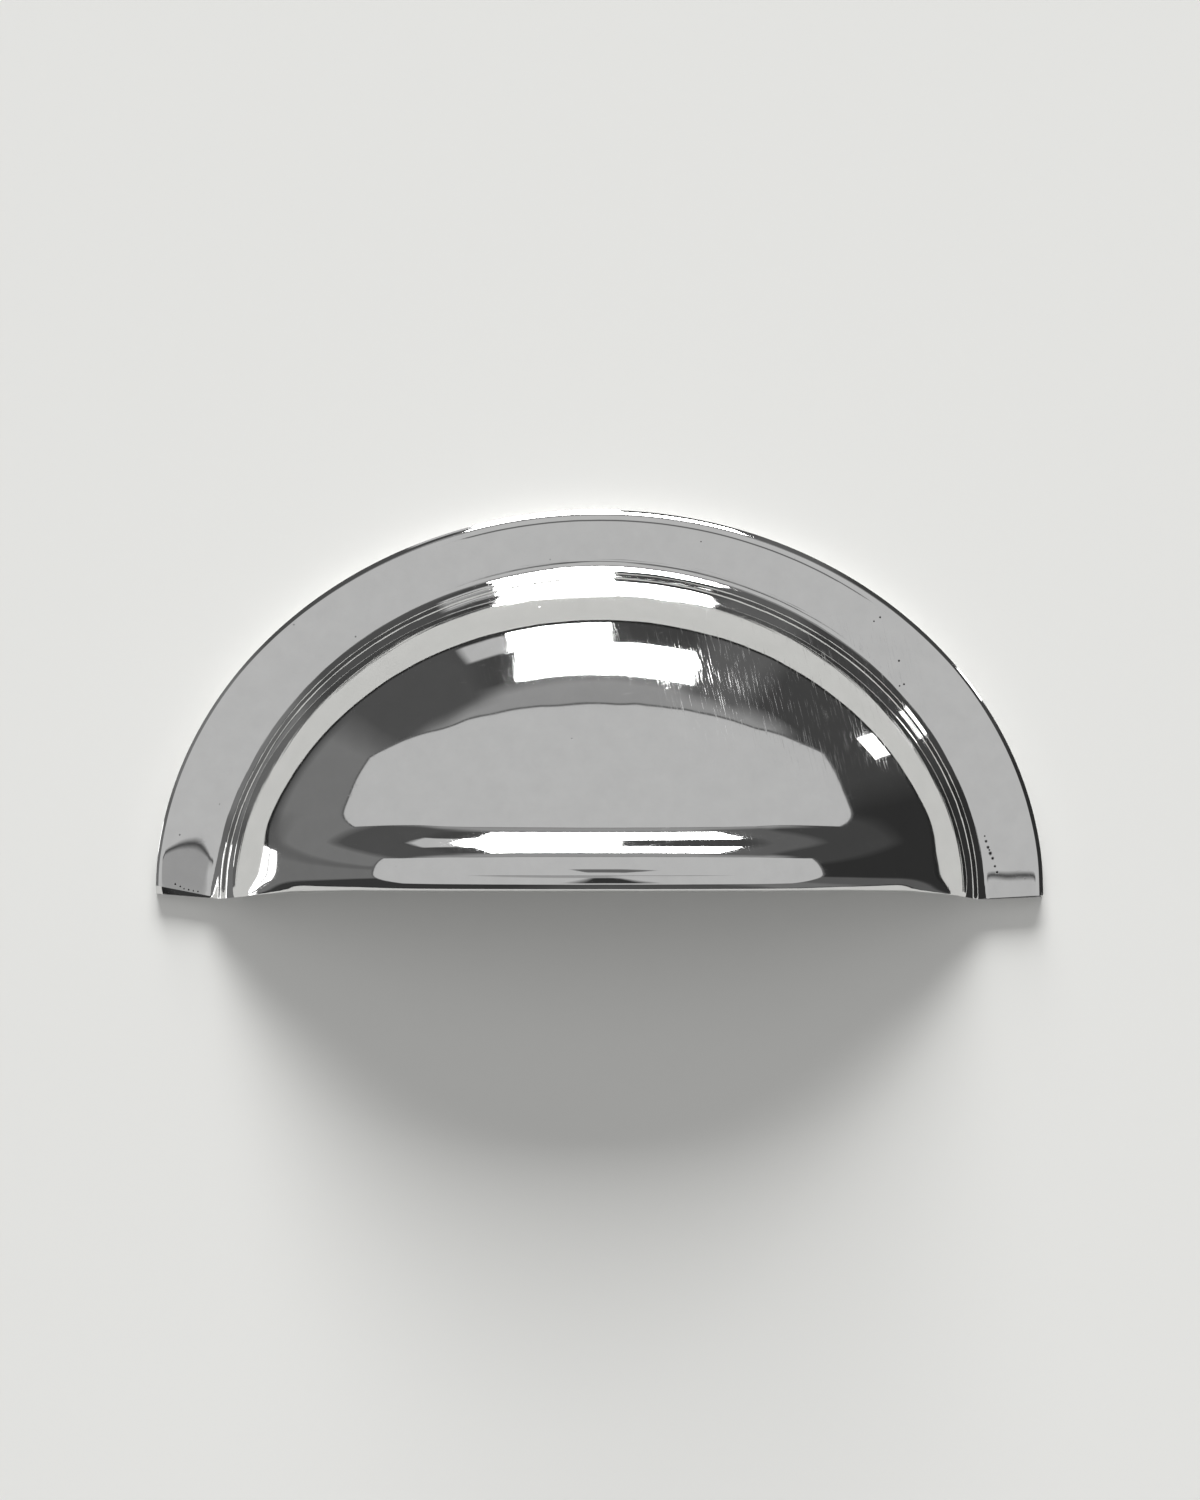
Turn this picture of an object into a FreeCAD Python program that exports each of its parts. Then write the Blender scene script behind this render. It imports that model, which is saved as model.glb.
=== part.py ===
import FreeCAD, Part
import math
import os

import Sketcher

# Cup pull cast as one piece: a flat half-elliptical flange, a stepped moulding
# inside it, a dome that rises out of the moulding, and a rolled finger lip.
# The back is open, with two bosses in the hollow for screws from behind.
# The back face lies on z = 0, +Y points to the top of the drawer front, and the
# origin is midway between the two fixing holes.

NODE = "cup_pull"

# Driving dimensions: name, millimetres or degrees, what it is
DIMENSIONS = [
    ("overall_width", 96.0, "width over the flange"),
    ("overall_height", 41.75, "base line to the top of the flange"),
    ("hole_inset", 16.0, "fixing holes in from the widest line of the flange"),
    ("hole_rise", 10.0, "fixing holes above the base line"),
    ("flange_thickness", 2.5, "thickness of the flat flange"),
    ("flange_flat", 5.6, "flange edge to the foot of the cove"),
    ("bevel_width", 1.2, "bevel along the flange's front edge, across the flange"),
    ("bevel_depth", 0.45, "the same bevel, down the flange's side"),
    ("cove_radius", 1.3, "hollow between the flange and the roll"),
    ("roll_radius", 7.5, "crown of the roll between the cove and the dome"),
    ("roll_span", 3.2, "width of the roll, from the cove to its end under the dome's skin"),
    ("roll_slope", 50.0, "slope of the roll where it leaves the cove, degrees"),
    ("dome_gap", 8.25, "flange edge to the widest line of the dome"),
    ("dome_foot", 1.15, "that widest line above the back"),
    ("dome_rise", 17.0, "dome above its widest line"),
    ("wall", 2.0, "wall of the dome at its crown"),
    ("rim_wall", 1.0, "edge of the dome to the edge of the hollow at the back"),
    ("lip_recess", 0.85, "front of the lip behind the base line"),
    ("nose_radius", 1.75, "round on the front of the lip"),
    ("nose_side", 0.15, "what is left of that round where the lip meets the feet"),
    ("crown_radius", 5.1, "round on the top of the lip, behind the nose"),
    ("flare_radius", 5.9, "hollow between the lip and the dome"),
    ("flare_slope", 41.0, "steepest slope of the lip's back, degrees"),
    ("flare_run_out", 8.1, "slope of the flare where it runs into the dome, degrees"),
    ("mouth_round", 1.5, "round under the lip, where fingers reach in"),
    ("mouth_slope", 60.0, "slope of that round at the front of the lip, degrees"),
    ("foot_drop", 0.4, "inner end of a foot below the base line"),
    ("foot_slope", 4.0, "how steeply a foot's end rises outwards, degrees"),
    ("boss_diameter", 10.0, "screw boss in the hollow"),
    ("bore_diameter", 3.3, "tapping bore for the fixing screw"),
    ("bore_cover", 2.5, "metal left over the end of a bore"),
    ("drill_angle", 118.0, "point of the drill that made the bore, degrees"),
    ("bore_chamfer", 0.4, "chamfer at the mouth of a bore"),
    ("clearance", 1.0, "how far the cutting tools run out of the casting"),
]

# Sizes that follow from the driving dimensions
DERIVED = [
    ("half_width", "=overall_width / 2"),
    ("tall", "=overall_height > half_width ? 1 : 0"),
    ("long_radius", "=max(half_width; overall_height)"),
    ("short_radius", "=min(half_width; overall_height)"),
    ("base_line", "=-hole_rise"),
    ("hole_centres", "=overall_width - hole_inset * 2"),
    ("roll_start", "=flange_flat + cove_radius * sin(roll_slope * 1deg)"),
    ("roll_end", "=roll_start + roll_span"),
    ("dome_half_width", "=half_width - dome_gap"),
    ("dome_height", "=overall_height - dome_gap"),
    ("hollow_half_width", "=dome_half_width - rim_wall"),
    ("hollow_height", "=dome_height - rim_wall"),
    ("hollow_rise", "=dome_foot + dome_rise - wall"),
    ("lip_crest", "=lip_recess + nose_radius"),
    ("flare_start", "=lip_crest + crown_radius * sin(flare_slope * 1deg)"),
    ("flare_end",
     "=flare_start + flare_radius * (sin(flare_slope * 1deg) - sin(flare_run_out * 1deg))"),
    ("flare_end_top", "=dome_rise * sqrt(1 - pow(flare_end / dome_height; 2))"),
    ("flare_start_top",
     "=flare_end_top + flare_radius * (cos(flare_run_out * 1deg) - cos(flare_slope * 1deg))"),
    ("lip_crest_top", "=flare_start_top + crown_radius * (1 - cos(flare_slope * 1deg))"),
    ("mouth_end", "=lip_recess + mouth_round * sin(mouth_slope * 1deg)"),
    ("dome_start", "=asin(flare_end / dome_height) / 1deg"),
    ("hollow_start", "=asin(mouth_end / hollow_height) / 1deg"),
    ("boss_end", "=hole_centres / 2 + boss_diameter / 2"),
    ("bore_radius", "=bore_diameter / 2"),
    ("bore_edge", "=hole_centres / 2 + bore_radius"),
    ("bore_depth",
     "=dome_foot - bore_cover + dome_rise"
     " * sqrt(1 - pow(hole_rise / dome_height; 2) - pow(bore_edge / dome_half_width; 2))"),
    ("cut_depth", "=clearance * 3"),
    ("drill_point", "=bore_radius / tan(drill_angle / 2 * 1deg)"),
]

# Sections across Y lie one to two millimetres apart along the mid-line: how many on each arc
NOSE_STEPS = 4
CROWN_STEPS = 4
FLARE_STEPS = 3
DOME_STEPS = 24
DOME_END = 80          # slope in degrees where the skin ends, buried in the roll
MOUTH_STEPS = 2
RUN_OUT_STEPS = 2
HOLLOW_STEPS = 24
HOLLOW_END = 86        # slope in degrees where the hollow ends, next to the back face

doc = FreeCAD.newDocument(NODE)
sheet = doc.addObject("Spreadsheet::Sheet", "sizes")
names = []


def write_size(cell, name, content):
    sheet.set(cell, content)
    sheet.setAlias(cell, name)
    names.append(name)


for row, (name, value, meaning) in enumerate(DIMENSIONS, start=1):
    sheet.set(f"A{row}", name)
    write_size(f"B{row}", name, str(value))
    sheet.set(f"C{row}", meaning)
for row, (name, formula) in enumerate(DERIVED, start=len(DIMENSIONS) + 1):
    sheet.set(f"A{row}", name)
    write_size(f"B{row}", name, formula)
doc.recompute()


def size(name):
    return float(sheet.get(name))


def bind(feature, **formulas):
    """Tie properties to the sheet. A double underscore in a property's path is a dot."""
    for path, formula in formulas.items():
        words = formula.split(" ")
        tied = [f"<<sizes>>.{word}" if word in names else word for word in words]
        feature.setExpression(path.replace("__", "."), " ".join(tied))
    return feature


def along_y(feature):
    """Stand a flat feature up in a plane across Y, its own y axis pointing along Z."""
    feature.Placement.Rotation = FreeCAD.Rotation(FreeCAD.Vector(1, 0, 0), 90)
    return feature


def mirrored(name, source):
    """The same feature on the other side of the middle."""
    feature = doc.addObject("Part::Mirroring", name)
    feature.Source = source
    feature.Normal = FreeCAD.Vector(1, 0, 0)
    return feature


# The flange and the roll inside it: one profile swept round the half ellipse

def draw_moulding_profile():
    """Section at the right-hand foot: flat back, edge bevel, flat front, cove and roll."""
    sketch = along_y(doc.addObject("Sketcher::SketchObject", "moulding_profile"))
    edge, flat = size("half_width"), size("flange_thickness")
    bevel_start, bevel_end = flat - size("bevel_depth"), edge - size("bevel_width")
    cove, roll = size("cove_radius"), size("roll_radius")
    steep = math.radians(size("roll_slope"))
    flat_end = edge - size("flange_flat")
    roll_start = edge - size("roll_start")
    roll_end = edge - size("roll_end")
    roll_x = roll_start - roll * math.sin(steep)
    roll_y = flat + cove * (1 - math.cos(steep)) - roll * math.cos(steep)
    shallow = math.asin((roll_end - roll_x) / roll)
    roll_top = roll_y + roll * math.cos(shallow)
    quarter = math.pi / 2

    def line(x1, y1, x2, y2):
        return Part.LineSegment(FreeCAD.Vector(x1, y1, 0), FreeCAD.Vector(x2, y2, 0))

    def arc(x, y, radius, first, last):
        circle = Part.Circle(FreeCAD.Vector(x, y, 0), FreeCAD.Vector(0, 0, 1), radius)
        return Part.ArcOfCircle(circle, first, last)

    sketch.addGeometry([
        line(roll_end, 0, edge, 0),
        line(edge, 0, edge, bevel_start),
        line(edge, bevel_start, bevel_end, flat),
        line(bevel_end, flat, flat_end, flat),
        arc(flat_end, flat + cove, cove, 3 * quarter - steep, 3 * quarter),
        arc(roll_x, roll_y, roll, quarter - steep, quarter - shallow),
        line(roll_end, roll_top, roll_end, 0),
    ], False)
    back, side, bevel, front, cove_arc, roll_arc, inner = range(7)
    start, end = 1, 2
    origin = (-1, 1)
    rules = [
        ("Coincident", back, end, side, start), ("Coincident", side, end, bevel, start),
        ("Coincident", bevel, end, front, start), ("Tangent", front, end, cove_arc, end),
        ("Tangent", cove_arc, start, roll_arc, start), ("Coincident", roll_arc, end, inner, start),
        ("Coincident", inner, end, back, start), ("PointOnObject", back, end, -1),
        ("Horizontal", back), ("Horizontal", front), ("Vertical", side), ("Vertical", inner),
    ]
    for rule in rules:
        sketch.addConstraint(Sketcher.Constraint(*rule))
    measures = [
        ("edge", "DistanceX", (*origin, side, start), edge, "half_width"),
        ("face", "DistanceY", (*origin, front, start), flat, "flange_thickness"),
        ("bevel_start", "DistanceY", (*origin, side, end), bevel_start,
         "flange_thickness - bevel_depth"),
        ("bevel_end", "DistanceX", (*origin, front, start), bevel_end, "half_width - bevel_width"),
        ("flat_end", "DistanceX", (*origin, front, end), flat_end, "half_width - flange_flat"),
        ("roll_start", "DistanceX", (*origin, roll_arc, start), roll_start,
         "half_width - roll_start"),
        ("roll_end", "DistanceX", (*origin, roll_arc, end), roll_end, "half_width - roll_end"),
        ("cove_radius", "Radius", (cove_arc,), cove, "cove_radius"),
        ("roll_radius", "Radius", (roll_arc,), roll, "roll_radius"),
    ]
    for label, kind, items, value, formula in measures:
        number = sketch.addConstraint(Sketcher.Constraint(kind, *items, value))
        sketch.renameConstraint(number, label)
        bind(sketch, **{f"Constraints__{label}": formula})
    return bind(sketch, Placement__Base__y="base_line")


def sweep_moulding():
    """The section follows the flange's outer edge from foot to foot."""
    profile = draw_moulding_profile()
    path = doc.addObject("Part::Ellipse", "flange_edge")
    bind(path, MajorRadius="long_radius", MinorRadius="short_radius",
         Angle1="tall * 90deg", Angle2="180deg + tall * 90deg",
         Placement__Rotation__Angle="tall * -90deg", Placement__Base__y="base_line")
    sweep = doc.addObject("Part::Sweep", "moulding")
    sweep.Sections = [profile]
    sweep.Spine = (path, ["Edge1"])
    sweep.Solid = True
    return profile, sweep


def run_on_foot(profile):
    """The moulding runs straight on below the base line, and its end is cut to a slope later."""
    right = doc.addObject("Part::Extrusion", "right_foot")
    right.Base = profile
    right.DirMode = "Custom"
    right.Dir = FreeCAD.Vector(0, -1, 0)
    right.Solid = True
    bind(right, LengthFwd="clearance")
    return [right, mirrored("left_foot", right)]


def slope_feet():
    """Blocks below the sloping ends of the feet, hinged just inside each foot's inner end."""
    right = doc.addObject("Part::Box", "below_right_foot")
    right.Placement.Rotation = FreeCAD.Rotation(FreeCAD.Vector(0, 0, 1), size("foot_slope"))
    bind(right, Length="roll_end * 2", Width="cut_depth", Height="overall_width",
         Placement__Rotation__Angle="foot_slope * 1deg",
         Placement__Base__x="half_width - roll_end - clearance + cut_depth * sin( foot_slope * 1deg )",
         Placement__Base__y="base_line - foot_drop - cut_depth * cos( foot_slope * 1deg )")
    return [right, mirrored("below_left_foot", right)]


# The skin and the hollow: sections across Y that are ellipses, of which the upper half counts

def lay_section(name, along, half_width, top, foot):
    """One ellipse across Y, at a distance above the base line, with its centre at foot."""
    row = len(names) + 1
    for column, formula in (("along", along), ("half", half_width), ("top", top)):
        write_size(f"B{row}", f"{name}_{column}", "=" + formula.replace("ALONG", f"{name}_along"))
        row += 1
    section = along_y(doc.addObject("Part::Ellipse", name))
    return bind(section, MajorRadius=f"{name}_half", MinorRadius=f"{name}_top",
                Placement__Base__y=f"base_line + {name}_along", Placement__Base__z=foot)


def loft(name, stations, foot):
    feature = doc.addObject("Part::Loft", name)
    feature.Sections = [lay_section(f"{name}_{number:02d}", *station, foot)
                        for number, station in enumerate(stations)]
    feature.Solid = True
    return feature


def loft_skin():
    """Outer form: nose, crown and flare of the lip are tangent arcs, and then comes the dome."""
    half = "dome_half_width * sqrt(1 - pow(ALONG / dome_height; 2))"
    stations = []
    for step in range(NOSE_STEPS):
        slope = f"({90 * (1 - step / NOSE_STEPS)}deg)"
        fall = f"(1 - cos{slope})"
        stations.append((f"lip_recess + nose_radius * (1 - sin{slope})",
                         f"{half} - nose_side * {fall}", f"lip_crest_top - nose_radius * {fall}"))
    for step in range(CROWN_STEPS):
        slope = f"(flare_slope * {step / CROWN_STEPS} * 1deg)"
        stations.append((f"lip_crest + crown_radius * sin{slope}", half,
                         f"lip_crest_top - crown_radius * (1 - cos{slope})"))
    for step in range(FLARE_STEPS):
        slope = f"((flare_slope - (flare_slope - flare_run_out) * {step / FLARE_STEPS:.4f}) * 1deg)"
        stations.append((
            f"flare_start + flare_radius * (sin(flare_slope * 1deg) - sin{slope})", half,
            f"flare_start_top + flare_radius * (cos(flare_slope * 1deg) - cos{slope})"))
    for step in range(DOME_STEPS + 1):
        slope = f"(dome_start + ({DOME_END} - dome_start) * {step / DOME_STEPS:.4f}) * 1deg"
        stations.append((f"dome_height * sin({slope})", half, f"dome_rise * cos({slope})"))
    return loft("skin", stations, "dome_foot")


def loft_hollow():
    """Inner form: it comes in through the mouth, rounds under the lip, and follows the dome."""
    share = "sqrt(1 - pow(ALONG / hollow_height; 2))"
    half = f"hollow_half_width * {share}"
    stations = []
    for step in range(RUN_OUT_STEPS):
        way = f"clearance * {1 - step / RUN_OUT_STEPS}"
        stations.append((f"lip_recess - {way}", half,
                         f"hollow_rise * {share} + mouth_round * (1 - cos(mouth_slope * 1deg))"
                         f" + {way} * tan(mouth_slope * 1deg)"))
    for step in range(MOUTH_STEPS):
        slope = f"(mouth_slope * {1 - step / MOUTH_STEPS} * 1deg)"
        stations.append((f"mouth_end - mouth_round * sin{slope}", half,
                         f"hollow_rise * {share} + mouth_round * (1 - cos{slope})"))
    for step in range(HOLLOW_STEPS + 1):
        slope = f"(hollow_start + ({HOLLOW_END} - hollow_start) * {step / HOLLOW_STEPS:.4f}) * 1deg"
        stations.append((f"hollow_height * sin({slope})", half, f"hollow_rise * cos({slope})"))
    return loft("hollow", stations, "0")


def block(name, corner, lengths):
    feature = doc.addObject("Part::Box", name)
    return bind(feature, Length=lengths[0], Width=lengths[1], Height=lengths[2],
                Placement__Base__x=corner[0], Placement__Base__y=corner[1],
                Placement__Base__z=corner[2])


def join(name, parts):
    feature = doc.addObject("Part::MultiFuse", name)
    feature.Shapes = parts
    return feature


def common(name, base, tool):
    feature = doc.addObject("Part::Common", name)
    feature.Base = base
    feature.Tool = tool
    return feature


def cut(name, base, tool):
    feature = doc.addObject("Part::Cut", name)
    feature.Base = base
    feature.Tool = tool
    return feature


def round_bar(name, side, radius, height, mouth=None):
    """Cylinder, or cone down to the radius named mouth, on the axis of one fixing hole."""
    centre = f"{side} * hole_centres / 2"
    if mouth is None:
        bar = doc.addObject("Part::Cylinder", name)
        return bind(bar, Radius=radius, Height=height, Placement__Base__x=centre)
    bar = doc.addObject("Part::Cone", name)
    return bind(bar, Radius1=radius, Radius2=mouth, Height=height, Placement__Base__x=centre)


def screw_bore(name, side):
    """Blind bore with the drill's point at its end and a chamfer at its mouth."""
    bore = round_bar(f"{name}_bore", side, "bore_radius", "bore_depth")
    point = round_bar(f"{name}_drill_point", side, "bore_radius", "drill_point", "0")
    bind(point, Placement__Base__z="bore_depth")
    chamfer = round_bar(f"{name}_chamfer", side, "bore_radius + bore_chamfer", "bore_chamfer",
                        "bore_radius")
    return [bore, point, chamfer]


SIDES = {"left": -1, "right": 1}

profile, moulding = sweep_moulding()
feet = run_on_foot(profile)
skin = loft_skin()
upper = block("above_widest_line", ("- half_width", "base_line - clearance", "dome_foot"),
              ("overall_width", "overall_height + clearance * 2", "overall_width"))
filler = block("boss_feet", ("- boss_end", "- boss_diameter / 2", "0"),
               ("boss_end * 2", "boss_diameter", "flange_thickness"))
casting = join("casting", [moulding, *feet, common("dome_and_lip", skin, upper), filler])

hollow = loft_hollow()
bosses = join("bosses", [round_bar(f"{name}_boss", side, "boss_diameter / 2", "overall_width")
                         for name, side in SIDES.items()])
core = cut("core", hollow, bosses)
bores = [tool for name, side in SIDES.items() for tool in screw_bore(name, side)]

shell = cut("shell", casting, core)
pull = cut(NODE, shell, join("bores_and_foot_ends", [*bores, *slope_feet()]))

doc.recompute()
for feature in doc.Objects:
    if "Invalid" in feature.State or "Error" in feature.State:
        raise RuntimeError(f"{feature.Label} failed: {feature.State}")
if pull.Shape.isNull() or not pull.Shape.isValid() or len(pull.Shape.Solids) != 1:
    raise RuntimeError(f"{pull.Label} is not one valid solid")

os.makedirs("parts", exist_ok=True)
pull.Shape.exportStep(f"parts/{pull.Label}.step")
print(f"{pull.Label}: {pull.Shape.Volume:.1f} cubic mm")
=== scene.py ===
import math

import bmesh
import bpy
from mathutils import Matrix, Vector


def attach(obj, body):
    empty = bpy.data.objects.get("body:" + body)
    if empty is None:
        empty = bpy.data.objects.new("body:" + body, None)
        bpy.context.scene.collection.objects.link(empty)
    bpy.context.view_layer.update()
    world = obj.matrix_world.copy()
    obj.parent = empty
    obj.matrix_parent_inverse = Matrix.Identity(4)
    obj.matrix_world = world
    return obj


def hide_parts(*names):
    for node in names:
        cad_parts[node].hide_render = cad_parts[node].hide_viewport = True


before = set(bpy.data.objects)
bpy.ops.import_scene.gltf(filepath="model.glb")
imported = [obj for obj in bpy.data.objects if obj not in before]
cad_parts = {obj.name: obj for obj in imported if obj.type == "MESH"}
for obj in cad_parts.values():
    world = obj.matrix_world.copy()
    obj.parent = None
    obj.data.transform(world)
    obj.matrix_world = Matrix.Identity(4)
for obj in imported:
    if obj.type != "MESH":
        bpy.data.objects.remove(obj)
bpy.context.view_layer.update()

mm = 0.001
print("frame loaded")


# small helpers; lengths are in millimetres and angles in degrees unless a note says otherwise

def chain(form, points):
    # an open run of edges through points
    verts = [form.verts.new(Vector(point) * mm) for point in points]
    edges = [form.edges.new(pair) for pair in zip(verts, verts[1:])]
    return verts + edges


def arcPoints(centre, radius, first, last, steps):
    # points of an arc from one angle to the other
    angles = [math.radians(first + (last - first) * k / steps) for k in range(steps + 1)]
    return [(centre[0] + radius * math.cos(a), centre[1] + radius * math.sin(a)) for a in angles]


def evenSteps(first, last, steps):
    # places from one to the other, without the first
    return [first + (last - first) * k / steps for k in range(1, steps + 1)]


def closeEnd(form):
    # a flat face on every open rim
    rims = [edge for edge in form.edges if edge.is_boundary]
    bmesh.ops.holes_fill(form, edges=rims, sides=0)


def settle(form):
    bmesh.ops.remove_doubles(form, verts=form.verts, dist=0.0005 * mm)
    bmesh.ops.dissolve_degenerate(form, dist=0.0002 * mm, edges=form.edges)
    bmesh.ops.recalc_face_normals(form, faces=form.faces)


def toObject(form, name):
    mesh = bpy.data.meshes.new(name)
    form.to_mesh(mesh)
    form.free()
    thing = bpy.data.objects.new(name, mesh)
    bpy.context.scene.collection.objects.link(thing)
    return thing


def cutAway(thing, tools):
    # booleans one after the other, with their result kept in the mesh
    for tool in tools:
        step = thing.modifiers.new(tool.name, "BOOLEAN")
        step.operation = "DIFFERENCE"
        step.object = tool
        step.solver = "MANIFOLD"
    depsgraph = bpy.context.evaluated_depsgraph_get()
    result = bpy.data.meshes.new_from_object(thing.evaluated_get(depsgraph))
    thing.modifiers.clear()
    thing.data = result
    for tool in tools:
        bpy.data.objects.remove(tool)


def readLine(line, at):
    # value of a run of (place, value) pairs at one place
    for (here, low), (there, high) in zip(line, line[1:]):
        if at <= there:
            share = max(0, (at - here) / (there - here))
            return low + (high - low) * share
    return line[-1][1]


def readTable(table, at):
    # the same for a table with even steps
    place = min(max((at - table[0][0]) / (table[1][0] - table[0][0]), 0), len(table) - 1.001)
    low, high = table[int(place)][1], table[int(place) + 1][1]
    return low + (high - low) * (place % 1)


# the casting

pull = {
    "halfWidth": 48.0, "height": 41.75, "baseLine": -10.0,
    "flange": 2.5, "flatEnd": 5.5, "edgeSlope": 43.0, "edgeWidth": 1.25, "edgeWall": 0.9,
    # slope of the cove and the roll, by distance from the flange's outer edge
    "rollSlopes": [(5.5, 0), (6.05, 25), (6.65, 37), (6.95, 50), (7.2, 54), (7.4, 47), (7.65, 37), (8.8, 28),
                   (9.9, 22)],
    # round the rim from the right foot to the left one: how much later the cove starts, and the edge's width
    "coveShift": [(0, 0.45), (25, 0.55), (60, 0.25), (90, 0.0), (120, 0.35), (155, 0.8), (180, 0.35)],
    "edgeShare": [(0, 0.8), (30, 0.9), (60, 0.92), (90, 1.0), (125, 0.95), (150, 0.75), (180, 0.6)],
    "domeHalfWidth": 39.75, "domeHeight": 33.5, "domeRise": 17.0, "domeFoot": 1.15,
    "footSlope": [(0, 52), (40, 53), (90, 55)],   # slope of the dome's straight foot, by direction
    "frontReach": 28.0,   # how far up the front's own form fades out
    "lipFade": (0.5, 0.97), "noseFade": (0.80, 0.96),   # shares of the half width
    # slope along the lip, as a tangent, by distance from the middle
    "frontSlopes": [(0, 0), (17, 0.21), (34, 0.8), (38, 1.0), (39.35, 1.30), (50, 1.30)],
    "lipRecess": 0.85, "noseRadius": 1.75, "noseSide": 0.15, "crownRadius": 5.1,
    # slope of the nose, by distance in front of the lip's crest
    "noseSlopes": [(0, 0), (0.85, 26), (1.05, 33), (1.52, 44), (1.62, 58), (1.75, 84)],
    "flareRadius": 5.9, "flareSlope": 41.0, "flareRunOut": 8.1,
    "frontFade": 3.0, "droopFade": 0.9,
    "groundFall": 0.78, "groundRow": 5, "groundReach": 3.0,   # the flat's tangent, its rows and what makes room
    "edgeSteps": 10, "flatSteps": 16, "rollSteps": 30,
    "noseSteps": 10, "crownSteps": 10, "flareSteps": 8, "domeSteps": 80, "acrossSteps": 180,
}

# each half by itself: where the front ends, from the middle outwards and above the base line, how far
# the flange droops at its end, over what length and which share of it across the width, and how wide the flat
# ground off the end is at the outer corner and at the cove
halves = {
    "right": {
        "front": [(0, 0.85), (26, 0.82), (33, 0.66), (36.5, 0.42), (38.4, 0.16), (39.6, -0.08), (40.8, -0.28),
                  (42, -0.32), (48, -0.05)],
        "droop": 0.156, "droopLength": 3.95,
        "droopShares": [(0, 0.93), (0.3, 1.0), (0.6, 1.0), (1, 0.92)],
        "ground": (0.16, 0.1),
    },
    "left": {
        "front": [(0, 0.85), (26, 0.80), (33, 0.60), (36.5, 0.30), (38.6, 0.0), (40, -0.16), (41.1, -0.25),
                  (42.5, -0.16), (48, 0.27)],
        "droop": 0.516, "droopLength": 8.0,
        "droopShares": [(0, 0.6), (0.12, 0.72), (0.25, 0.83), (0.4, 0.925), (0.55, 0.98), (0.68, 1.0),
                        (0.78, 0.975), (0.87, 0.89), (0.94, 0.77), (1, 0.62)],
        "ground": (0.9, 0.2),
    },
}
tableStep = 0.01
rollEnd = pull["rollSlopes"][-1][0]


def addUp(slopes, last):
    # heights from a line of slopes, at every step
    at, height = slopes[0][0], 0
    heights = [(at, height)]
    while at < last:
        height += tableStep * math.tan(math.radians(readLine(slopes, at + tableStep / 2)))
        at += tableStep
        heights.append((at, height))
    return heights


rollHeights = addUp(pull["rollSlopes"], rollEnd)
noseFalls = addUp(pull["noseSlopes"], pull["noseRadius"])


def coveStart(turn):
    return pull["flatEnd"] + readLine(pull["coveShift"], math.degrees(turn))


def rollHeight(inward, turn):
    # height of the moulding inside the flange; where the cove starts later, all of it is squeezed
    start = coveStart(turn)
    squeeze = (rollEnd - start) / (rollEnd - pull["flatEnd"])
    return pull["flange"] + readTable(rollHeights, pull["flatEnd"] + (inward - start) / squeeze) * squeeze


def lipLine():
    # the lip's crest, and the flare behind it: distances above the base line and heights
    fall, end = math.radians(pull["flareSlope"]), math.radians(pull["flareRunOut"])
    crest = pull["lipRecess"] + pull["noseRadius"]
    flareStart = crest + pull["crownRadius"] * math.sin(fall)
    flareEnd = flareStart + pull["flareRadius"] * (math.sin(fall) - math.sin(end))
    endTop = pull["domeRise"] * math.sqrt(1 - (flareEnd / pull["domeHeight"]) ** 2)
    startTop = endTop + pull["flareRadius"] * (math.cos(end) - math.cos(fall))
    crestTop = startTop + pull["crownRadius"] * (1 - math.cos(fall))
    return crest, flareStart, flareEnd, startTop, crestTop


crestAt, flareStart, flareEnd, flareTop, crestTop = lipLine()


def skinTop(up):
    # height of the skin over the middle, above the dome's widest line
    if up < crestAt:
        return crestTop - readTable(noseFalls, crestAt - up)
    if up < flareStart:
        return crestTop - pull["crownRadius"] + math.sqrt(pull["crownRadius"] ** 2 - (up - crestAt) ** 2)
    if up < flareEnd:
        slope = math.radians(pull["flareSlope"])
        sine = math.sin(slope) - (up - flareStart) / pull["flareRadius"]
        return flareTop + pull["flareRadius"] * (math.cos(slope) - math.sqrt(1 - sine ** 2))
    return pull["domeRise"] * math.sqrt(max(0, 1 - (up / pull["domeHeight"]) ** 2))


def skinHalf(up):
    # half the skin's width
    half = pull["domeHalfWidth"] * math.sqrt(max(1e-12, 1 - (up / pull["domeHeight"]) ** 2))
    if up < crestAt:
        half -= pull["noseSide"] * (1 - math.sqrt(max(0, 1 - ((crestAt - up) / pull["noseRadius"]) ** 2)))
    return half


def lipShare(beside, limits="lipFade"):
    # the lip's crest and flare fade out at the sides, and its nose further on
    low, high = pull[limits]
    share = min(max((beside - low) / (high - low), 0), 1)
    return 1 - share * share * (3 - 2 * share)


def addUpFront():
    # share of the dome's height by share of its width, from the slopes along the lip
    share, heights, step = 1.0, [], 0.002
    lip = crestTop - pull["domeRise"]
    for k in range(551):
        heights.append((k * step, share))
        slope = readLine(pull["frontSlopes"], (k + 0.5) * step * pull["domeHalfWidth"])
        fading = lip * (lipShare(k * step) - lipShare((k + 1) * step))
        share -= (step * pull["domeHalfWidth"] * slope - fading) / pull["domeRise"]
    return heights


frontHeights = addUpFront()


def domeHeight(side, rise):
    # an ellipsoid with a straight foot, by shares of its half width and height
    reach = max(1e-6, math.hypot(side, rise))
    lean = math.hypot(side / pull["domeHalfWidth"], rise / pull["domeHeight"]) / reach
    slope = readLine(pull["footSlope"], math.degrees(math.atan2(rise, abs(side))))
    steep = math.tan(math.radians(slope)) / (pull["domeRise"] * lean)
    limit = steep / math.sqrt(1 + steep ** 2)
    fall = math.sqrt(1 - min(reach, limit) ** 2)
    if reach > limit:
        fall = max(0, fall - (reach - limit) * steep)
    return pull["domeRise"] * fall


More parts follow.
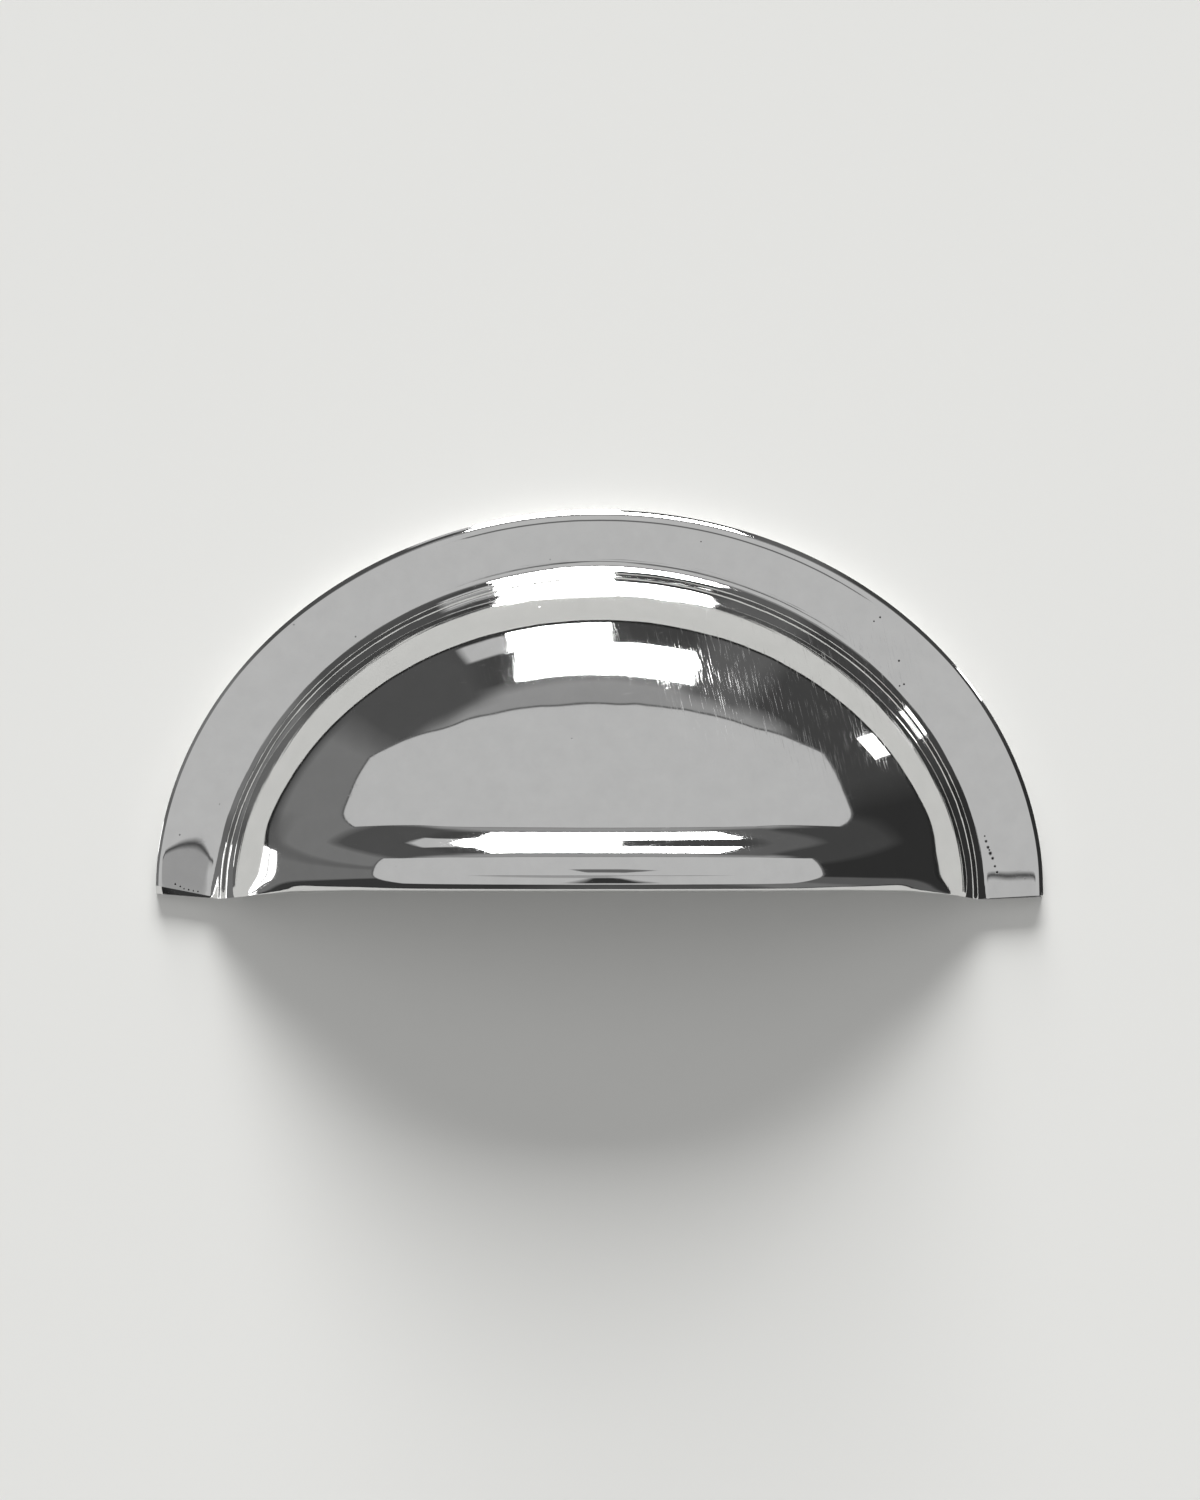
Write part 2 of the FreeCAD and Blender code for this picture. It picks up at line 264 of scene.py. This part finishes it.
def skinHeight(across, up):
    # the dome, flatter along the front, and the lip upon it
    if up < pull["lipRecess"] - 1e-9:
        return 0
    side, rise = across / pull["domeHalfWidth"], up / pull["domeHeight"]
    thin = math.sqrt(max(1e-6, 1 - rise ** 2))
    if up < crestAt:
        side = across / skinHalf(up) * thin
    height = domeHeight(side, rise)
    share = max(0, 1 - up / pull["frontReach"])
    if share > 0:
        beside = abs(across) / skinHalf(up)
        height += share * (pull["domeRise"] * thin * readTable(frontHeights, beside) - height)
        if up < crestAt:
            height += (crestTop - pull["domeRise"] * thin) * lipShare(beside)
            height -= (crestTop - skinTop(up)) * lipShare(beside, "noseFade")
        elif up < flareEnd:
            height += (skinTop(up) - pull["domeRise"] * thin) * lipShare(beside)
    return pull["domeFoot"] + height


def edgePoint(turn, inward):
    # a point at a distance inside the flange's outer edge
    side, up = math.cos(turn), math.sin(turn)
    lean = Vector((side / pull["halfWidth"], up / pull["height"])).normalized()
    return pull["halfWidth"] * side - inward * lean.x, pull["height"] * up - inward * lean.y


def creaseInward(turn, hand=1):
    # where the roll meets the skin
    low, high = pull["flatEnd"], rollEnd
    for _ in range(40):
        middle = (low + high) / 2
        if rollHeight(middle, turn if hand > 0 else math.pi - turn) > skinHeight(*edgePoint(turn, middle)):
            low = middle
        else:
            high = middle
    return high


def turnAt(up, hand):
    # how far round the edge the crease is this far above the base line
    low, high = -0.03, math.pi / 2
    for _ in range(40):
        middle = (low + high) / 2
        if edgePoint(middle, creaseInward(middle, hand))[1] < up:
            low = middle
        else:
            high = middle
    return high


def layRows():
    # how far up the rows of the skin lie, from the lip's front to the crease at the top
    ups = []
    for k in range(pull["noseSteps"]):
        ups.append(pull["lipRecess"] + pull["noseRadius"] * (1 - math.cos(math.pi / 2 * k / pull["noseSteps"])))
    for k in range(pull["crownSteps"]):
        slope = math.radians(pull["flareSlope"] * k / pull["crownSteps"])
        ups.append(crestAt + pull["crownRadius"] * math.sin(slope))
    ups[0] += 1e-6
    steepest = pull["flareSlope"]
    for k in range(pull["flareSteps"]):
        slope = math.radians(steepest + (pull["flareRunOut"] - steepest) * k / pull["flareSteps"])
        ups.append(flareStart + pull["flareRadius"] * (math.sin(math.radians(steepest)) - math.sin(slope)))
    crease = edgePoint(math.pi / 2, creaseInward(math.pi / 2))[1]
    first = math.asin(flareEnd / crease)
    for k in range(pull["domeSteps"] + 1):
        ups.append(crease * math.sin(first + (math.pi / 2 - first) * k / pull["domeSteps"]))
    return ups


def layStations(hand):
    # the crease row by row: how far round, how far inside the edge, and its place
    ups, row = layRows(), []
    for up in ups[:-1]:
        turn = turnAt(up, hand)
        inward = creaseInward(turn, hand)
        row.append((turn, inward, edgePoint(turn, inward)[0], up))
    return row + [(math.pi / 2, creaseInward(math.pi / 2), 0, ups[-1])]


stations = {1: layStations(1), -1: layStations(-1)}
lastStation = len(stations[1]) - 1
edgeRadius = pull["edgeWidth"] / math.sin(math.radians(pull["edgeSlope"]))
edgeDrop = edgeRadius * (1 - math.cos(math.radians(pull["edgeSlope"])))


def readFront(across):
    half = halves["right"] if across > 0 else halves["left"]
    return readLine(half["front"], abs(across))


def settleFront(across, up, level, rowUp):
    # the front isn't quite straight: rows near it are drawn on to the front line
    fade = max(0, 1 - rowUp / pull["frontFade"]) ** 2
    return up + fade * (readFront(across) - level)


def layOutline():
    # section of the flange from its foot outside to the crease
    edge, flange = pull["halfWidth"], pull["flange"]
    flatStart, flatEnd = edge - pull["edgeWidth"], edge - pull["flatEnd"]
    outline = [(edge, 0), (edge, flange - edgeDrop - pull["edgeWall"])]
    outline += arcPoints((flatStart, flange - edgeRadius), edgeRadius, 90 - pull["edgeSlope"], 90, pull["edgeSteps"])
    outline += [(x, flange) for x in evenSteps(flatStart, flatEnd, pull["flatSteps"])]
    outline += [(x, flange) for x in evenSteps(flatEnd, edge - rollEnd, pull["rollSteps"])]
    return outline


def shapeSection(inward, height, crease, whole):
    # the section's own widths at one place round the rim
    start = coveStart(whole)
    width = pull["edgeWidth"] * readLine(pull["edgeShare"], math.degrees(whole))
    if inward > pull["flatEnd"] + 1e-4:
        share = (inward - pull["flatEnd"]) / (rollEnd - pull["flatEnd"])
        inward = start + share * (crease - start)
        return inward, rollHeight(inward, whole)
    if inward > pull["edgeWidth"] - 1e-4:
        share = (inward - pull["edgeWidth"]) / (pull["flatEnd"] - pull["edgeWidth"])
        return width + share * (start - width), height
    if height > 0.01:
        share = width / pull["edgeWidth"]
        return inward * share, pull["flange"] - (pull["flange"] - height) * share
    return inward, height


def endFlange(hand, side, up, height, inward, start, level):
    # the flange droops to its end, where a flat is ground off it
    half = halves["right"] if hand > 0 else halves["left"]
    fade = min(1, max(0, (start - inward) / pull["droopFade"] + 1))
    front = readFront(hand * side)
    flatTurn, _, _, flatUp = stations[hand][pull["groundRow"]]
    flatRow = settleFront(hand * side, edgePoint(flatTurn, inward)[1], level, flatUp - pull["lipRecess"]) - front
    corner, inner = half["ground"]
    ground = corner + (inner - corner) * min(1, max(0, inward) / start)
    away, reach = up - front, pull["groundReach"]
    moved = away
    if away < flatRow:
        moved = away * ground / flatRow
    elif away < reach:
        moved = ground + (away - flatRow) * (reach - ground) / (reach - flatRow)
    up += (moved - away) * fade
    if height > pull["flange"] - edgeDrop - pull["edgeWall"] + 0.1:
        length = half["droopLength"] * readLine(half["droopShares"], min(inward, start) / start)
        height -= half["droop"] * max(0, 1 - max(0, up) / length) ** 2 * fade
        height -= max(0, ground - up + front) * pull["groundFall"] * fade
    return up, height


def placeRim(vert):
    # from the half turn of the section to its real place
    k = round(math.atan2(vert.co.y, vert.co.x) / math.pi * 2 * lastStation) % (4 * lastStation)
    hand = 1 if k <= lastStation else -1
    row = stations[hand]
    turn, crease, creaseSide, creaseUp = row[min(k, 2 * lastStation - k)]
    whole = turn if hand > 0 else math.pi - turn
    inward = pull["halfWidth"] - math.hypot(vert.co.x, vert.co.y) / mm
    last = inward > rollEnd - 1e-4
    inward, height = shapeSection(inward, vert.co.z / mm, crease, whole)
    side, up = edgePoint(turn, inward)
    level = edgePoint(row[0][0], inward)[1]
    if last:
        side, up, height, level = creaseSide, creaseUp, skinHeight(creaseSide, creaseUp), pull["lipRecess"]
    up = settleFront(hand * side, up, level, creaseUp - pull["lipRecess"])
    if not last:
        up, height = endFlange(hand, side, up, height, inward, coveStart(whole), level)
    vert.co = Vector((hand * side, up + pull["baseLine"], height)) * mm


def placeSkin(vert):
    # from a flat grid on to the dome and the lip
    row = stations[1] if vert.co.x > 0 else stations[-1]
    _, _, creaseSide, creaseUp = row[round((vert.co.y + 1) / 2 * lastStation)]
    half = skinHalf(creaseUp)
    side = half * math.sin(math.asin(min(1, creaseSide / half)) * vert.co.x)
    up = settleFront(side, creaseUp, pull["lipRecess"], creaseUp - pull["lipRecess"])
    vert.co = Vector((side, up + pull["baseLine"], skinHeight(side, creaseUp))) * mm


def layCasting():
    form = bmesh.new()
    strip = chain(form, [(x, 0, z) for x, z in layOutline()])
    bmesh.ops.spin(form, geom=strip, cent=(0, 0, 0), axis=(0, 0, 1), angle=math.pi, steps=2 * lastStation)
    for vert in form.verts:
        placeRim(vert)
    grid = bmesh.ops.create_grid(form, x_segments=pull["acrossSteps"], y_segments=lastStation, size=1)
    for vert in grid["verts"]:
        placeSkin(vert)
    bmesh.ops.remove_doubles(form, verts=form.verts, dist=0.0005 * mm)

    # the front and the feet are flat down to the back
    front = [e for e in form.edges if e.is_boundary and max(v.co.z for v in e.verts) > 0.01 * mm]
    below = bmesh.ops.extrude_edge_only(form, edges=front)["geom"]
    for vert in below:
        if isinstance(vert, bmesh.types.BMVert):
            vert.co.z = 0
    settle(form)
    closeEnd(form)
    bmesh.ops.recalc_face_normals(form, faces=form.faces)
    return form


# the hollow behind the dome, with a rounded mouth

hollowSizes = {
    "halfWidth": 38.75, "height": 32.5, "rise": 16.15, "mouthRound": 1.5, "mouthSlope": 60.0,
    "beyond": (2.0, 1.0, 0.5), "mouthSteps": 8, "archSteps": 60, "turnSteps": 160,
}


def hollowShare(up):
    return math.sqrt(max(0, 1 - (up / hollowSizes["height"]) ** 2))


def layHollow():
    form = bmesh.new()
    steep, mouthRound, rise = math.radians(hollowSizes["mouthSlope"]), hollowSizes["mouthRound"], hollowSizes["rise"]
    mouthEnd = pull["lipRecess"] + mouthRound * math.sin(steep)
    line = []
    for way in hollowSizes["beyond"]:
        up = pull["lipRecess"] - way
        line.append((up, rise * hollowShare(up) + mouthRound * (1 - math.cos(steep)) + way * math.tan(steep)))
    for k in range(hollowSizes["mouthSteps"]):
        slope = steep * (1 - k / hollowSizes["mouthSteps"])
        up = mouthEnd - mouthRound * math.sin(slope)
        line.append((up, rise * hollowShare(up) + mouthRound * (1 - math.cos(slope))))
    start = math.asin(mouthEnd / hollowSizes["height"])
    for slope in [start] + evenSteps(start, math.pi / 2, hollowSizes["archSteps"]):
        line.append((hollowSizes["height"] * math.sin(slope), rise * math.cos(slope)))
    line[-1] = (hollowSizes["height"], 0)
    run = chain(form, [(0, up + pull["baseLine"], height) for up, height in line])
    bmesh.ops.spin(form, geom=run, cent=(0, 0, 0), axis=(0, 1, 0), angle=2 * math.pi,
                   steps=hollowSizes["turnSteps"], use_merge=True)
    for vert in form.verts:
        out = math.hypot(vert.co.x, vert.co.z) / mm
        if out > 1e-4:
            vert.co.x *= hollowSizes["halfWidth"] * hollowShare(vert.co.y / mm - pull["baseLine"]) / out
    settle(form)
    closeEnd(form)
    bmesh.ops.recalc_face_normals(form, faces=form.faces)
    return form


# the bosses and the tapped bores on the back

boreSizes = {
    "centres": 64.0, "bossRadius": 5.0, "bossSegments": 72, "bossLength": 60.0,
    "tapRadius": 1.65, "threadDepth": 0.32, "pitch": 0.7, "depth": 6.1, "chamfer": 0.45, "runOut": 0.6,
    "drillPoint": 59.0, "segments": 48, "rowsPerTurn": 8,
}


def layBoss(side):
    form = bmesh.new()
    radius = boreSizes["bossRadius"] * mm
    bmesh.ops.create_cone(form, cap_ends=True, segments=boreSizes["bossSegments"], radius1=radius, radius2=radius,
                          depth=boreSizes["bossLength"] * mm)
    bmesh.ops.translate(form, verts=form.verts, vec=(side * boreSizes["centres"] / 2 * mm, 0, 0))
    return form


def layBore(side):
    # drilled, tapped and countersunk: the thread is drawn out of a spun wall
    form = bmesh.new()
    radius, depth, pitch = boreSizes["tapRadius"], boreSizes["depth"], boreSizes["pitch"]
    chamfer = boreSizes["chamfer"]
    rows = int(depth / pitch * boreSizes["rowsPerTurn"])
    line = [(0, -1), (radius + chamfer, -1), (radius + chamfer, 0), (radius, chamfer)]
    line += [(radius, height) for height in evenSteps(chamfer, depth, rows)]
    line += [(0, depth + radius / math.tan(math.radians(boreSizes["drillPoint"])))]
    run = chain(form, [(x, 0, z) for x, z in line])
    bmesh.ops.spin(form, geom=run, cent=(0, 0, 0), axis=(0, 0, 1), angle=2 * math.pi,
                   steps=boreSizes["segments"], use_merge=True)
    for vert in form.verts:
        height = vert.co.z / mm
        out = math.hypot(vert.co.x, vert.co.y) / mm
        if out > radius - 0.01 and chamfer + 0.01 < height < depth - boreSizes["runOut"]:
            turn = math.atan2(vert.co.y, vert.co.x) / (2 * math.pi)
            wave = abs(((height / pitch - turn) % 1) * 2 - 1)
            groove = min(1, max(0, (wave - 0.15) / 0.7)) * boreSizes["threadDepth"]
            vert.co.x *= (out + groove) / out
            vert.co.y *= (out + groove) / out
    bmesh.ops.translate(form, verts=form.verts, vec=(side * boreSizes["centres"] / 2 * mm, 0, 0))
    settle(form)
    return form


casting = toObject(layCasting(), "pull_casting")
hollow = toObject(layHollow(), "hollow")
cutAway(hollow, [toObject(layBoss(side), f"boss{side}") for side in (-1, 1)])
cutAway(casting, [hollow] + [toObject(layBore(side), f"bore{side}") for side in (-1, 1)])
for face in casting.data.polygons:
    face.use_smooth = True
casting.data.set_sharp_from_angle(angle=math.radians(28))
print("casting:", len(casting.data.polygons), "faces")


# shader nodes

class Wire:
    # a socket: an expression on it adds its Math nodes
    def __init__(self, socket):
        self.socket = socket
        self.tree = socket.id_data

    def through(self, operation, *others):
        node = self.tree.nodes.new("ShaderNodeMath")
        node.operation = operation
        for entry, value in zip(node.inputs, (self,) + others):
            plug(entry, value)
        return Wire(node.outputs[0])

    def __add__(self, other):
        return self.through("ADD", other)

    def __mul__(self, other):
        return self.through("MULTIPLY", other)

    def __sub__(self, other):
        return self.through("SUBTRACT", other)

    def __rsub__(self, other):
        return (self * -1) + other

    __radd__ = __add__
    __rmul__ = __mul__


def plug(entry, value):
    if isinstance(value, Wire):
        value.tree.links.new(value.socket, entry)
    else:
        entry.default_value = value


def addNode(tree, kind, settings=None, sockets=None):
    node = tree.nodes.new(kind)
    for name, value in (settings or {}).items():
        setattr(node, name, value)
    for name, value in (sockets or {}).items():
        plug(node.inputs[name], value)
    return node


def clampSlope(value, low, high):
    # nought at low and before it, one at high and past it
    ramp = addNode(value.tree, "ShaderNodeMapRange", sockets={"Value": value, "From Min": low, "From Max": high})
    return Wire(ramp.outputs["Result"])


def softStep(distance, half, soft):
    # one inside, nought outside, and a slope between
    return clampSlope(distance.through("ABSOLUTE"), half + soft / 2, half - soft / 2)


def cover(level, mask, other):
    # one level, and another one where the mask is
    mix = addNode(mask.tree, "ShaderNodeMix", sockets={"Factor": mask, "A": level, "B": other})
    return Wire(mix.outputs["Result"])


def freshTree(owner):
    owner.use_nodes = True
    owner.node_tree.nodes.clear()
    return owner.node_tree


def finishTree(tree, shader, kind="ShaderNodeOutputMaterial"):
    output = addNode(tree, kind)
    tree.links.new(shader.outputs[0], output.inputs["Surface"])


# polished plate, and its wear: pits by place and size, and where the fine scratches lie thick, by middle and reach
plateLooks = {
    "tone": (0.73, 0.73, 0.725, 1), "pitTone": (0.03, 0.03, 0.03, 1), "cloud": 0.12,
    "roughness": 0.035, "scratchRoughness": 0.3, "pitRoughness": 0.4, "hollowRoughness": 0.22,
    "streakHeight": 0.010, "waveHeight": 0.035, "peelHeight": 0.0004, "pitDepth": 0.012,
    "scratches": {"east": (21.0, 13.0, 6.0), "north": (11.0, 8.0, 5.0), "thick": 0.6, "thin": 0.11, "cross": 0.22},
    "pits": [(41.74, -4.06, 0.16), (41.95, -4.71, 0.17), (42.2, -5.36, 0.2), (42.45, -5.9, 0.17), (42.7, -6.76, 0.14),
             (42.93, -7.41, 0.16), (30.3, 20.13, 0.12), (29.64, 19.7, 0.1), (32.34, 15.43, 0.13), (32.88, 12.9, 0.12),
             (32.4, 12.72, 0.1), (10.96, 28.3, 0.08), (-45.84, -8.7, 0.14), (-45.3, -8.95, 0.12), (-44.9, -9.2, 0.1),
             (-44.4, -9.3, 0.12), (-43.9, -9.42, 0.1), (-43.4, -9.5, 0.11), (41.6, -3.5, 0.1), (42.1, -5.0, 0.11)],
}


def grain(x, y, z, detail):
    spot = addNode(x.tree, "ShaderNodeCombineXYZ", sockets={"X": x, "Y": y, "Z": z})
    noise = addNode(x.tree, "ShaderNodeTexNoise", sockets={
        "Vector": Wire(spot.outputs["Vector"]), "Scale": 1.0, "Detail": detail, "Roughness": 0.55})
    return Wire(noise.outputs["Fac"])


def polishHeight(east, north, high):
    # polishing marks along the moulding, waves over all, and orange peel
    up = north - pull["baseLine"]
    wide, tall = 1 / pull["halfWidth"] ** 2, 1 / pull["height"] ** 2
    inward = (1 - ((east * east) * wide + (up * up) * tall).through("SQRT")) * 44.0
    streaks = grain(inward * 4.5, up.through("ARCTAN2", east) * 2.2, 0.0, 3.0) * softStep(inward - 7.4, 1.9, 0.8)
    waves = grain(east * 0.11, north * 0.11, high * 0.11, 2.0)
    peel = grain(east * 0.9, north * 0.9, high * 0.9, 2.0)
    return (streaks * plateLooks["streakHeight"] + waves * plateLooks["waveHeight"]
            + peel * plateLooks["peelHeight"])


def scratchMask(east, north, high):
    # mostly up and down, thick on one shoulder and thin elsewhere, with a few across
    facts = plateLooks["scratches"]
    (low, wide, softWide), (mid, tall, softTall) = facts["east"], facts["north"]
    patch = softStep(east - low, wide, softWide) * softStep(north - mid, tall, softTall)
    lines = grain(east * 13.0 + north * 3.0, north * 0.35, high * 0.2, 2.0)
    across = grain(east * 1.1 - north * 5.0, east * 0.5, high * 0.3, 2.0)
    thickness = patch * facts["thick"] + facts["thin"]
    return clampSlope(lines, 0.58, 0.68) * thickness + clampSlope(across, 0.66, 0.76) * facts["cross"]


def pitMask(tree, scaled, east, north, high):
    # the listed pits, and specks here and there
    flat = Wire(addNode(tree, "ShaderNodeCombineXYZ", sockets={"X": east, "Y": north, "Z": 0.0}).outputs["Vector"])
    pits = None
    for side, rise, radius in plateLooks["pits"]:
        gap = addNode(tree, "ShaderNodeVectorMath", {"operation": "DISTANCE"}, {"Vector": flat})
        gap.inputs[1].default_value = (side, rise, 0)
        dot = clampSlope(Wire(gap.outputs["Value"]), radius * 1.15, radius * 0.6)
        pits = dot if pits is None else pits.through("MAXIMUM", dot)
    cells = addNode(tree, "ShaderNodeTexVoronoi", {"voronoi_dimensions": "3D"}, {"Vector": scaled, "Scale": 0.42})
    rare = grain(east * 0.25, north * 0.25, high * 0.25, 1.0)
    specks = clampSlope(Wire(cells.outputs["Distance"]), 0.05, 0.03) * clampSlope(rare, 0.52, 0.60)
    return pits.through("MAXIMUM", specks * 0.6)


def polishedMetal():
    material = bpy.data.materials.new("polished_plate")
    tree = freshTree(material)
    place = addNode(tree, "ShaderNodeTexCoord")
    scaled = Wire(addNode(tree, "ShaderNodeVectorMath", {"operation": "SCALE"}, {
        "Vector": Wire(place.outputs["Object"]), "Scale": 1 / mm}).outputs["Vector"])
    axes = addNode(tree, "ShaderNodeSeparateXYZ", sockets={"Vector": scaled})
    east, north, high = (Wire(axes.outputs[axis]) for axis in "XYZ")
    marks = pitMask(tree, scaled, east, north, high)
    scratches = scratchMask(east, north, high)
    facing = addNode(tree, "ShaderNodeSeparateXYZ", sockets={"Vector": Wire(place.outputs["Normal"])})
    unseen = clampSlope(Wire(facing.outputs["Z"]), -0.02, -0.12)   # the hollow is only rough polished
    bump = addNode(tree, "ShaderNodeBump", sockets={
        "Strength": 1.0, "Distance": mm, "Height": polishHeight(east, north, high) - marks * plateLooks["pitDepth"]})
    cloud = grain(east * 0.45, north * 0.45, high * 0.45, 4.0)
    tone = addNode(tree, "ShaderNodeMix", {"data_type": "RGBA"}, {
        "Factor": marks.through("MAXIMUM", cloud * plateLooks["cloud"])})
    for entry in tone.inputs:
        if entry.type == "RGBA":
            entry.default_value = plateLooks["tone"] if entry.name == "A" else plateLooks["pitTone"]
    roughness = (plateLooks["roughness"] + scratches * plateLooks["scratchRoughness"]
                 + marks * plateLooks["pitRoughness"] + unseen * plateLooks["hollowRoughness"])
    shader = addNode(tree, "ShaderNodeBsdfPrincipled", sockets={
        "Metallic": 1.0, "Roughness": roughness, "Normal": Wire(bump.outputs["Normal"]),
        "Base Color": Wire(next(entry for entry in tone.outputs if entry.type == "RGBA"))})
    finishTree(tree, shader)
    return material


plate = polishedMetal()
casting.data.materials.clear()
casting.data.materials.append(plate)
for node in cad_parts.values():
    node.data.materials.clear()
    node.data.materials.append(plate)
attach(casting, "root")
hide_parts("cup_pull")
print("metal done")


# a plain pale floor; its radius is in metres

floorLooks = {"radius": 29, "segments": 96, "below": 0.02, "tone": (0.76, 0.76, 0.74, 1), "roughness": 0.7}


def layFloor():
    form = bmesh.new()
    bmesh.ops.create_circle(form, cap_ends=True, segments=floorLooks["segments"], radius=floorLooks["radius"])
    bmesh.ops.translate(form, verts=form.verts, vec=(0, 0, -floorLooks["below"] * mm))
    return form


def floorPaint():
    material = bpy.data.materials.new("floor_paint")
    tree = freshTree(material)
    finishTree(tree, addNode(tree, "ShaderNodeBsdfPrincipled", sockets={
        "Base Color": floorLooks["tone"], "Roughness": floorLooks["roughness"], "Specular IOR Level": 0.0}))
    return material


floor = toObject(layFloor(), "floor")
floor.data.materials.append(floorPaint())


# soft window light: direction and size as seen from the pull, in degrees, and how bright it is
windows = {
    "upper": {"azimuth": 89, "elevation": 26.5, "width": 32, "height": 17, "level": 23},
    "lower": {"azimuth": 96.5, "elevation": 10.5, "width": 17, "height": 15, "level": 17},
    "right": {"azimuth": 35.5, "elevation": 8, "width": 6, "height": 12, "level": 5},
    "leftLow": {"azimuth": 178, "elevation": 1.5, "width": 19, "height": 3, "level": 3},
    "leftHigh": {"azimuth": 178, "elevation": 5, "width": 19, "height": 3, "level": 3},
    "leftmostLow": {"azimuth": 199, "elevation": 1.5, "width": 18, "height": 3, "level": 4},
    "leftmostHigh": {"azimuth": 199, "elevation": 5, "width": 18, "height": 3, "level": 4},
}
windowDistance = 22.0   # metres


def hangWindow(name, facts):
    azimuth, elevation = math.radians(facts["azimuth"]), math.radians(facts["elevation"])
    light = bpy.data.lights.new(name, "AREA")
    light.shape = "RECTANGLE"
    light.size = 2 * windowDistance * math.tan(math.radians(facts["width"] / 2)) * math.cos(elevation)
    light.size_y = 2 * windowDistance * math.tan(math.radians(facts["height"] / 2))
    light.energy = facts["level"] * math.pi * light.size * light.size_y
    lamp = bpy.data.objects.new(name, light)
    bpy.context.scene.collection.objects.link(lamp)
    level = math.cos(elevation)
    ray = Vector((math.cos(azimuth) * level, math.sin(azimuth) * level, math.sin(elevation)))
    lamp.location = ray * windowDistance
    lamp.rotation_euler = (-ray).to_track_quat("-Z", "Y").to_euler()
    lamp.visible_camera = False


for name, facts in windows.items():
    hangWindow(name, facts)


# what the metal mirrors besides the windows: pale ceiling over darker walls
surroundings = {
    "wall": 0.072, "ceiling": 0.652,
    "line": 0.13, "lineHalf": 0.008, "lineSoft": 0.008,   # between wall and ceiling
    # how high the walls reach, as the tangent of the elevation straight across
    "wallTops": {"north": 1.036, "east": 0.84, "west": 0.80, "south": 0.55},
    # fields on the walls and above: azimuth, elevation, width, height and softness in degrees, and a level
    "fields": [
        (90, 42.0, 84, 13, 6, 0.383),
        (66, 18.0, 13, 42, 5, 0.145),
        (126, 18.0, 27, 40, 6, 0.102),
        (152, 22.0, 26, 34, 8, 0.238),
        (190, 20.0, 46, 44, 8, 0.212),
        (234, 20.0, 60, 60, 8, 0.051),
        (276, 14.0, 22, 34, 8, 0.102),
        (300, 14.0, 26, 34, 6, 0.212),
        (327, 20.0, 34, 44, 8, 0.136),
        (5, 20.0, 40, 42, 8, 0.038),
        (0, 0.8, 360, 2.6, 1, 0.025),
        (108, 4.0, 9, 8, 2, 0.043),
        (109, 11.0, 8, 13, 1.5, 0.637),
    ],
    "overhead": [(80, 80.5, 60, 8, 2, 0.17), (272, 55.0, 13, 36, 4, 0.043)],
    # straight above, a greyer strip and a dark line: place to the north, half width, softness and level
    "strip": (-0.20, 0.115, 0.02, 0.43), "stripEast": 0.2, "darkLine": (-0.085, 0.012, 0.020, 0.08),
}


def fieldMask(azimuth, elevation, field):
    turn, rise, width, height, soft = (math.radians(angle) for angle in field[:5])
    mask = softStep(elevation - rise, height / 2, soft)
    if field[2] < 360:
        across = (azimuth - turn).through("WRAP", math.pi, -math.pi)
        mask = mask * softStep(across, width / 2, soft)
    return mask


def paintSurroundings(tree):
    place = addNode(tree, "ShaderNodeSeparateXYZ", sockets={
        "Vector": Wire(addNode(tree, "ShaderNodeTexCoord").outputs["Generated"])})
    east, north, high = (Wire(place.outputs[axis]) for axis in "XYZ")
    azimuth = north.through("ARCTAN2", east)
    elevation = high.through("ARCSINE")
    tops = surroundings["wallTops"]
    top = (north * tops["north"]).through("MAXIMUM", east * tops["east"])
    top = top.through("MAXIMUM", east * -tops["west"]).through("MAXIMUM", north * -tops["south"])
    above = high - top
    level = surroundings["wall"]
    for field in surroundings["fields"]:
        level = cover(level, fieldMask(azimuth, elevation, field), field[5])
    level = cover(level, clampSlope(above, -0.01, 0.01), surroundings["ceiling"])
    line = softStep(above, surroundings["lineHalf"], surroundings["lineSoft"])
    level = cover(level, line, surroundings["line"])
    for field in surroundings["overhead"]:
        level = cover(level, fieldMask(azimuth, elevation, field), field[5])
    near = clampSlope(high, 0.93, 0.96)
    place, half, soft, grey = surroundings["strip"]
    grey = grey + clampSlope(east, 0.03, 0.06) * surroundings["stripEast"]
    level = cover(level, softStep(north - place, half, soft) * near, grey)
    place, half, soft, dark = surroundings["darkLine"]
    return cover(level, softStep(north - place, half, soft) * near, dark)


world = bpy.data.worlds.new("surroundings")
bpy.context.scene.world = world
tree = freshTree(world)
sky = addNode(tree, "ShaderNodeBackground", sockets={"Color": paintSurroundings(tree), "Strength": 1.0})
finishTree(tree, sky, "ShaderNodeOutputWorld")
print("surroundings done")


# camera straight above the pull; the frame's height is measured on the flange

view = {"upFrame": 162.0, "height": 700.0, "centre": (0.05, 5.8), "sensor": 36}
camera = bpy.data.cameras.new("camera")
camera.sensor_width = view["sensor"]
camera.lens = view["sensor"] * (view["height"] - pull["flange"]) / view["upFrame"]
camera.clip_end = 200
eye = bpy.data.objects.new("camera", camera)
bpy.context.scene.collection.objects.link(eye)
eye.location = (view["centre"][0] * mm, view["centre"][1] * mm, view["height"] * mm)
bpy.context.scene.camera = eye
bpy.context.scene.view_settings.view_transform = "Standard"

print("camera done")
